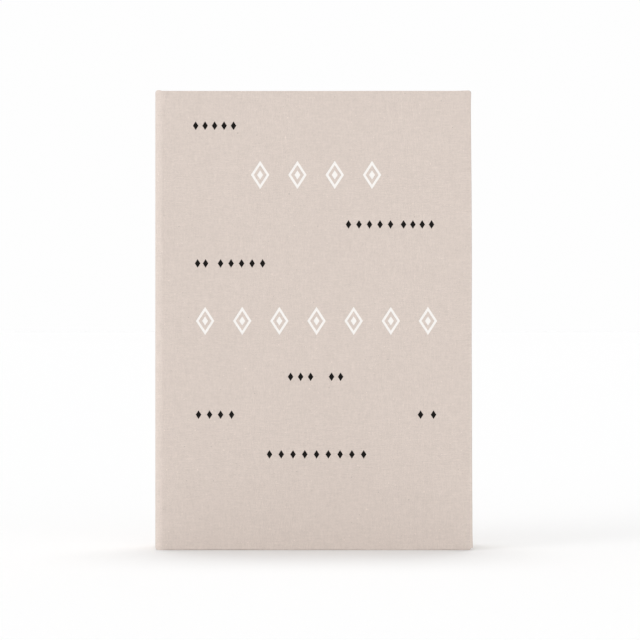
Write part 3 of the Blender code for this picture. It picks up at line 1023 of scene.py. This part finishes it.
def make_blanket(cloth, thread_material):
    """One sheet of cloth, folded from both sides into two stacks and then into panels."""
    right = across_path()
    path = [(-a, h) for a, h in right[:0:-1]] + right
    half_lengths = profile_lengths(right)
    lengths = [-length for length in half_lengths[:0:-1]] + half_lengths
    samples = strip_path()
    rings = [[pack_point(a, h, sample) for a, h in path] for sample in samples]
    along = profile_lengths([fold_point(0, STACK / 2, sample)[1:] for sample in samples])
    uvs = [(u, v) for v in along for u in lengths]
    faces = loft(rings, closed=False)
    blanket = make_piece("blanket_sheet", joined(rings), faces, cloth, uvs, sharp=180, close=False)
    thicken(blanket, GLASS_THICK)
    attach(blanket, "root")
    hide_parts("fire_blanket")
    hem = make_hem_thread(thread_material)


def make_hem_thread(material):
    """The stitches that show: along both hems where they meet on the front of the pack."""
    top = TOP_LAYER + 2 * BEND + GLASS_THICK / 2
    stitches = []
    count = round(STRAIGHT / STITCH_STEP)
    for side in (-1, 1):
        across = side * (BEND + HEM_SEAM)
        for k in range(count):
            z = -STRAIGHT / 2 + (k + 0.5) * STRAIGHT / count
            ends = (z - STITCH_LENGTH / 2, z + STITCH_LENGTH / 2)
            stitches.append([pack_point(across, top, (end, PANELS - 1, 0.0)) for end in ends])
    piece = make_stitches("blanket_hem_thread", stitches, material)
    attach(piece, "root")
    return piece


def make_stitches(name, stitches, material):
    """A short round thread between each pair of points, with tapered ends."""
    points, faces = [], []
    turns = [2 * math.pi * k / THREAD_SIDES for k in range(THREAD_SIDES)]
    for first, last in stitches:
        first, last = Vector(first), Vector(last)
        along = (last - first).normalized()
        across = along.cross(Vector((0, 1, 0))).normalized()
        up = across.cross(along)
        rings = []
        for t, size in STITCH_RINGS:
            centre, radius = first.lerp(last, t), THREAD_RADIUS * size
            outs = [across * math.cos(a) + up * math.sin(a) for a in turns]
            rings.append([centre + out * radius for out in outs])
        faces += loft(rings, len(points), ends=True)
        points += joined(rings)
    return make_piece(name, points, faces, material, sharp=60)


def pack_face(x, z):
    """The Y of the pack's front face in front of (x, z)."""
    sample = (z - PACK_MIDDLE.z, PANELS - 1, 0.0)
    return pack_point(x - PACK_MIDDLE.x, TOP_LAYER, sample)[1] - GLASS_THICK / 2


def strap_path(low, high):
    """(y, z) down the strap's back layer, round the loop at the bottom and up its front layer."""
    middle = (low.x + high.x) / 2
    radius = (high.y - low.y - WEB_THICK) / 2
    top, bottom = high.z, low.z + radius + WEB_THICK / 2

    def back_y(z):
        return pack_face(middle, z) - WEB_THICK / 2 - WEB_GAP

    levels = np.linspace(top, bottom, 41)
    path = [(back_y(z), z) for z in levels]
    turn_y = back_y(bottom) - radius
    for k in range(1, 8):
        angle = math.pi * k / 8
        path.append((turn_y + radius * math.cos(angle), bottom - radius * math.sin(angle)))
    return path + [(back_y(z) - 2 * radius, z) for z in levels[::-1]]


def strap_webbing(name, low, high, path, lengths, material):
    """The webbing itself: a flat section with thin edges, swept along the strap's path."""
    middle = (low.x + high.x) / 2
    half, thin = (high.x - low.x) / 2, WEB_THICK / 2
    flats = np.linspace(WEB_EDGE - half, half - WEB_EDGE, 7)
    section = [(x, thin) for x in flats] + [(half, 0.0)]
    section += [(x, -thin) for x in flats[::-1]] + [(-half, 0.0)]
    rings, uvs = [], []
    for (y, z), along, length in zip(path, directions(path), lengths):
        wander = WEB_WANDER * ripple(z, 0.0, WANDER_RUN, middle / MM)
        rings.append([(middle + x + wander, y - along.y * lift, z + along.x * lift) for x, lift in section])
        uvs += [(x, length) for x, _ in section]
    return make_piece(name, joined(rings), loft(rings, ends=True), material, uvs, sharp=60)


def strap_stitches(low, high):
    """A box of stitches with a cross in it, near the strap's top."""
    middle = (low.x + high.x) / 2
    box_half = (high.x - low.x) / 2 - SEAM_MARGIN
    left, right = middle - box_half, middle + box_half
    z_top = high.z - SEAM_MARGIN
    z_low = z_top - 2 * box_half
    corners = [(left, z_low), (right, z_low), (right, z_top), (left, z_top)]
    seams = [(corners[k], corners[(k + 1) % 4]) for k in range(4)]
    seams += [(corners[0], corners[2]), (corners[1], corners[3])]
    lift = high.y - low.y + WEB_GAP
    stitches = []
    for (x_a, z_a), (x_b, z_b) in seams:
        count = round(math.hypot(x_b - x_a, z_b - z_a) / STITCH_STEP)
        for k in range(count):
            ends = [(k + 0.12) / count, (k + 0.88) / count]
            places = [(x_a + (x_b - x_a) * t, z_a + (z_b - z_a) * t) for t in ends]
            stitches.append([(x, pack_face(middle, z) - lift, z) for x, z in places])
    return stitches


def make_strap(name, low, high, cloth, thread_material):
    """One pull strap: webbing doubled into a loop, with its ends sewn to the blanket near the top."""
    path = strap_path(low, high)
    lengths = profile_lengths(path)
    strap = strap_webbing(name + "_webbing", low, high, path, lengths, cloth)
    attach(strap, "root")
    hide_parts(name)
    sewing = make_stitches(name + "_thread", strap_stitches(low, high), thread_material)
    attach(sewing, "root")


# ======== room
def make_floor():
    """A plain white floor."""
    m = Material("floor_white", "Object", 0.9, Specular_IOR_Level=0.0)
    white = m.finish(m.mix(m.noise(400.0), (0.94, 0.94, 0.94), (0.96, 0.96, 0.96)))
    r = FLOOR_REACH
    corners = [(-r, -r, TAIL), (r, -r, TAIL), (r, r, TAIL), (-r, r, TAIL)]
    make_piece("floor", corners, [(0, 1, 2, 3)], white, close=False)


def make_world():
    """White walls all round, a dimmer ceiling, and more light from the left and from behind the camera."""
    world = bpy.data.worlds.new("white_room")
    world.use_nodes = True
    room = Nodes(world.node_tree)
    direction = room.node("SeparateXYZ", {0: room.node("TexCoord").outputs["Generated"]})
    light = WALL_LIGHT
    for axis, begin, end, change in ROOM_LIGHT:
        limits = {"From Min": begin, "From Max": end, "To Max": change}
        step = room.node("MapRange", {"Value": direction.outputs[axis]} | limits)
        light = room.maths("ADD", light, step.outputs["Result"])
    background = world.node_tree.nodes["Background"]
    room.give(background.inputs["Strength"], light)
    room.give(background.inputs["Color"], (1, 1, 1, 1))
    bpy.context.scene.world = world


def make_suns():
    for name, towards, spread, strength in SUNS:
        lamp = bpy.data.lights.new(name, "SUN")
        lamp.angle = math.radians(spread)
        lamp.energy = strength
        holder = add_object(name, lamp)
        holder.rotation_euler = Vector(towards).to_track_quat("-Z", "Y").to_euler()


def make_camera():
    camera = bpy.data.cameras.new("camera")
    camera.sensor_width = SENSOR_MM
    camera.lens = SENSOR_MM * CAMERA_DISTANCE / VIEW_WIDTH
    camera.clip_start = 0.05
    camera.clip_end = 100.0
    holder = add_object("camera", camera)
    holder.location = ((LEFT + RIGHT) / 2 + CAMERA_RIGHT, FRONT - CAMERA_DISTANCE, HEIGHT / 2)
    holder.rotation_euler = (math.pi / 2, 0, 0)
    bpy.context.scene.camera = holder
    bpy.context.scene.view_settings.view_transform = "Standard"


# ======== the whole object
def repaint(material, *nodes):
    """Gives CAD nodes that keep their shape a better material."""
    for node in nodes:
        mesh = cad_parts[node].data
        mesh.materials.clear()
        mesh.materials.append(material)


def make_covers(cloth):
    """Both covers in their cloth, and the foil on the front one."""
    large, small = title_marks(), small_marks()
    front = make_cover("front_cover_cloth", -1, large + small, cloth)
    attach(front, "cover")
    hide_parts("front_cloth")
    back = make_cover("back_cover_cloth", 1, [], cloth)
    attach(back, "root")
    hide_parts("back_cloth")
    white = foil("white_foil", WHITE_FOIL, 0.5)
    black = foil("black_foil", BLACK_FOIL, 0.42)
    for name, marks, leaf in (("title_foil", large, white), ("small_foil", small, black)):
        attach(make_foil(name, marks, leaf), "cover")


make_camera()
make_floor()
make_world()
make_suns()
cloth = book_cloth()
lining_paper = paper("lining_paper", PAPER_COLOUR)
card = paper("panel_card", CARD_COLOUR, 0.7)
make_covers(cloth)
make_spine_and_joints(cloth)
make_tray_wrap(lining_paper)
make_endpaper(lining_paper)
make_panel(card, printed_ink())
black_webbing = webbing()
pale_thread = thread("pale_thread", PALE_THREAD)
dark_thread = thread("dark_thread", DARK_THREAD)
for name, box in STRAP_BOXES.items():
    make_strap(name, *box, black_webbing, dark_thread)
make_blanket(glass_fibre(), pale_thread)
board_ends = ("_board", "_wall", "_liner", "tray_floor")
repaint(greyboard(), *(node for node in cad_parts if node.endswith(board_ends)))
repaint(lining_paper, "tray_floor_lining", "spine_lining", "cover_joint_lining", "back_joint_lining")
repaint(magnet_steel(), *(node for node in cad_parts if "magnet" in node))
